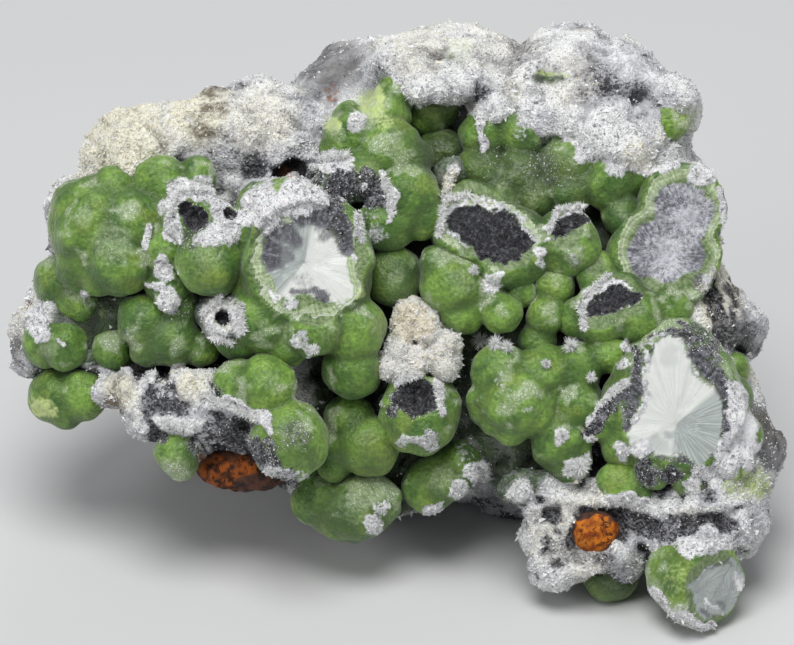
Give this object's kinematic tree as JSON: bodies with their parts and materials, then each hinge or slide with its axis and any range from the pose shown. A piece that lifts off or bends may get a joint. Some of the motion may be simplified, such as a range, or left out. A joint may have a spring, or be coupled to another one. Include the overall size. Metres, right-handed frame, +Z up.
{
  "type": "wavellite on matrix",
  "caption": "Mineral specimen of green radiating wavellite balls, some split open, grown over grey drusy rock; stands on its flat underside.",
  "frame": {"origin": "middle of the flat underside", "axes": "+X along the specimen's long side, +Y towards the back, +Z up; the show face looks towards -Y and leans back"},
  "size_m": [0.0768, 0.0499, 0.048],
  "materials": {
    "matrix_rock": "rough grey rock with a fine drusy coat",
    "wavellite": "silky green balls with a fine crystalline bloom",
    "split_wavellite": "green balls broken open to pale radiating needles",
    "pale_crust": "cream earthy crust",
    "limonite": "orange-brown earthy"
  },
  "bodies": {
    "root": {"limonite_nodule": "limonite", "limonite_seam": "limonite", "matrix": "matrix_rock", "pale_crust_lump": "pale_crust", "wavellite_arm": "wavellite", "wavellite_arm_tip": "wavellite", "wavellite_below_dark_split": "wavellite", "wavellite_bottom": "wavellite", "wavellite_bottom_right": "wavellite", "wavellite_column": "wavellite", "wavellite_crater_lower": "split_wavellite", "wavellite_crater_pair": "split_wavellite", "wavellite_dark_split_pair": "split_wavellite", "wavellite_dark_split_small": "split_wavellite", "wavellite_far_left_lower": "wavellite", "wavellite_far_left_middle": "wavellite", "wavellite_far_left_upper": "wavellite", "wavellite_heart_split": "split_wavellite", "wavellite_left_pair": "wavellite", "wavellite_lone_ball": "wavellite", "wavellite_lower_middle": "wavellite", "wavellite_middle_ball": "wavellite", "wavellite_recess_ball": "wavellite", "wavellite_right_crest_ball": "wavellite", "wavellite_right_edge_ball": "wavellite", "wavellite_right_mass": "wavellite", "wavellite_slab_top_ball": "wavellite", "wavellite_small_pair": "wavellite", "wavellite_split_fan": "split_wavellite", "wavellite_spray": "split_wavellite", "wavellite_toe": "split_wavellite", "wavellite_under_crest": "wavellite", "wavellite_under_slab": "wavellite", "wavellite_upper_left_crust": "wavellite", "wavellite_vug": "wavellite"}
  },
  "joints": []
}
